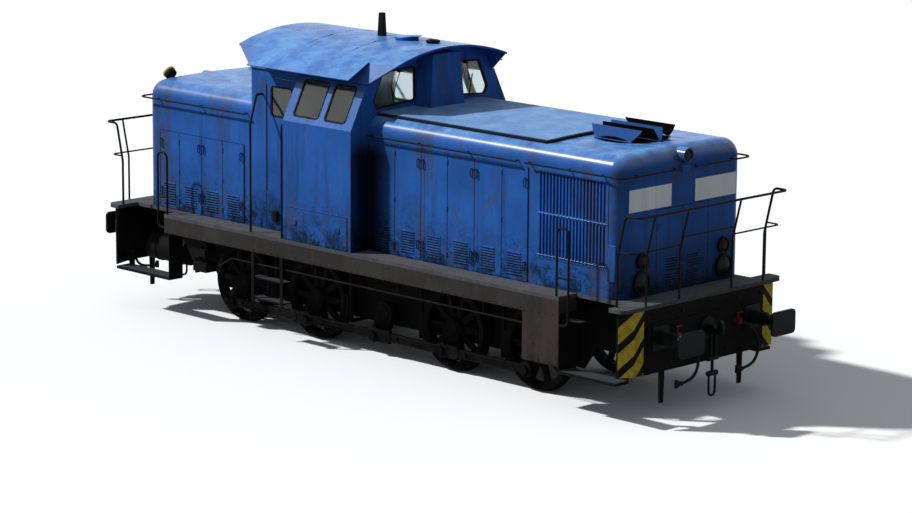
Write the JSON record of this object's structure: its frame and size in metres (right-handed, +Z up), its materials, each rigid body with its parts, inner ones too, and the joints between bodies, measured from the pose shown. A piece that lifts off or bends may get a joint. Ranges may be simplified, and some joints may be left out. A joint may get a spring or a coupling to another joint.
{
  "type": "diesel shunting locomotive",
  "caption": "Rod-coupled diesel shunting locomotive with an off-centre cab between a long and a short hood, buffers, screw couplings, railings and corner steps.",
  "frame": {"origin": "on the plane under the wheel flanges, at the middle of the length and width", "axes": "+X towards the long hood's end, +Y to the left side, +Z up"},
  "size_m": [10.88, 3.042, 4.4409],
  "materials": {
    "frame_black": "matte black paint, oily and dusty",
    "deck_grey": "worn grey non-slip paint",
    "sill_grey": "grey-brown paint with road dirt",
    "buffer_steel": "dark painted steel with greased heads",
    "worn_steel": "dark worn steel",
    "cast_black": "cast iron, matte",
    "spring_steel": "dark spring steel",
    "wheel_steel": "cast steel wheels with bright treads",
    "rod_steel": "oiled forged steel",
    "body_blue": "mid-blue gloss paint, faded and streaked",
    "radiator_black": "dusty black cooling fins",
    "fan_grey": "dull cast aluminium",
    "engine_grey": "grey engine paint",
    "floor_rubber": "ribbed rubber mat",
    "console_beige": "satin beige paint",
    "roof_black": "dark blue-black paint with soot",
    "rail_black": "black paint worn to steel",
    "seat_brown": "worn brown leathercloth",
    "cock_red": "red paint, chipped",
    "hose_rubber": "matte black rubber",
    "lamp_black": "dark painted lamp rims"
  },
  "bodies": {
    "locomotive": {"main_frame": "frame_black", "footplate": "deck_grey", "side_sills": "sill_grey", "headstocks": "frame_black", "buffers": "buffer_steel", "draw_hooks": "worn_steel", "sandboxes": "sill_grey", "corner_steps": "sill_grey", "cab_steps": "frame_black", "air_reservoirs": "frame_black", "axleboxes": "cast_black", "leaf_springs": "spring_steel", "brake_gear": "cast_black", "gearbox": "cast_black", "long_hood": "body_blue", "short_hood": "body_blue", "long_hood_doors": "body_blue", "short_hood_doors": "body_blue", "radiator_grilles": "body_blue", "radiators": "radiator_black", "engine": "engine_grey", "cab_side_right": "body_blue", "cab_side_left": "body_blue", "cab_front_wall": "body_blue", "cab_rear_wall": "body_blue", "cab_roof": "body_blue", "sun_visors": "body_blue", "cab_floor": "floor_rubber", "console": "console_beige", "exhaust_shaft": "body_blue", "hood_lid": "body_blue", "fan_flaps": "body_blue", "roof_vents": "roof_black", "railings": "rail_black", "hood_handrails": "rail_black", "cab_handrails": "rail_black", "grab_handles": "rail_black", "side_hatches": "body_blue", "seats": "seat_brown", "equipment_boxes": "cast_black", "side_pipes": "rail_black", "brake_cocks": "cock_red", "hose_heads": "cock_red", "brake_hose_front_left": "hose_rubber", "brake_hose_front_right": "hose_rubber", "brake_hose_rear_left": "hose_rubber", "brake_hose_rear_right": "hose_rubber", "hood_lamps": "lamp_black"},
    "wheelset_1": {"wheelset_1": "wheel_steel"},
    "wheelset_2": {"wheelset_2": "wheel_steel"},
    "wheelset_3": {"wheelset_3": "wheel_steel"},
    "wheelset_4": {"wheelset_4": "wheel_steel"},
    "jackshaft": {"jackshaft": "wheel_steel"},
    "rods_right": {"coupling_rods_right": "rod_steel"},
    "rods_left": {"coupling_rods_left": "rod_steel"},
    "door_right": {"cab_door_right": "body_blue"},
    "door_left": {"cab_door_left": "body_blue"},
    "coupling_front": {"screw_coupling_front": "worn_steel"},
    "coupling_rear": {"screw_coupling_rear": "worn_steel"},
    "fan": {"roof_fan": "fan_grey"}
  },
  "joints": [
    {"name": "wheelset_1_turn", "type": "hinge", "parent": "locomotive", "child": "wheelset_1", "pos_m": [2.8, 0, 0.578], "axis": [0, 1, 0], "continuous": true},
    {"name": "wheelset_2_turn", "type": "hinge", "parent": "locomotive", "child": "wheelset_2", "pos_m": [1.3, 0, 0.578], "axis": [0, 1, 0], "continuous": true},
    {"name": "wheelset_3_turn", "type": "hinge", "parent": "locomotive", "child": "wheelset_3", "pos_m": [-1.3, 0, 0.578], "axis": [0, 1, 0], "continuous": true},
    {"name": "wheelset_4_turn", "type": "hinge", "parent": "locomotive", "child": "wheelset_4", "pos_m": [-2.8, 0, 0.578], "axis": [0, 1, 0], "continuous": true},
    {"name": "jackshaft_turn", "type": "hinge", "parent": "locomotive", "child": "jackshaft", "pos_m": [0.02, 0, 0.578], "axis": [0, 1, 0], "continuous": true},
    {"name": "rods_right_turn", "type": "hinge", "parent": "wheelset_2", "child": "rods_right", "pos_m": [1.18013, -0.877, 0.2813], "axis": [0, 1, 0], "continuous": true},
    {"name": "rods_left_turn", "type": "hinge", "parent": "wheelset_2", "child": "rods_left", "pos_m": [1.5967, 0.877, 0.45813], "axis": [0, 1, 0], "continuous": true},
    {"name": "door_right_swing", "type": "hinge", "parent": "locomotive", "child": "door_right", "pos_m": [-1.909, -1.128, 2.528], "axis": [0, 0, 1], "range_deg": [0, 95]},
    {"name": "door_left_swing", "type": "hinge", "parent": "locomotive", "child": "door_left", "pos_m": [-1.909, 1.128, 2.528], "axis": [0, 0, -1], "range_deg": [0, 95]},
    {"name": "coupling_front_swing", "type": "hinge", "parent": "locomotive", "child": "coupling_front", "pos_m": [5.02, 0, 1.033], "axis": [0, -1, 0], "range_deg": [-9, 80]},
    {"name": "coupling_rear_swing", "type": "hinge", "parent": "locomotive", "child": "coupling_rear", "pos_m": [-5.02, 0, 1.033], "axis": [0, 1, 0], "range_deg": [-9, 80]},
    {"name": "fan_turn", "type": "hinge", "parent": "locomotive", "child": "fan", "pos_m": [3.63, 0, 3.088], "axis": [0, 0, 1], "continuous": true}
  ],
  "couplings": [
    {"joint": "wheelset_1_turn", "follows": "wheelset_2_turn", "ratio": 1},
    {"joint": "wheelset_3_turn", "follows": "wheelset_2_turn", "ratio": 1},
    {"joint": "wheelset_4_turn", "follows": "wheelset_2_turn", "ratio": 1},
    {"joint": "jackshaft_turn", "follows": "wheelset_2_turn", "ratio": 1},
    {"joint": "rods_right_turn", "follows": "wheelset_2_turn", "ratio": -1},
    {"joint": "rods_left_turn", "follows": "wheelset_2_turn", "ratio": -1}
  ]
}
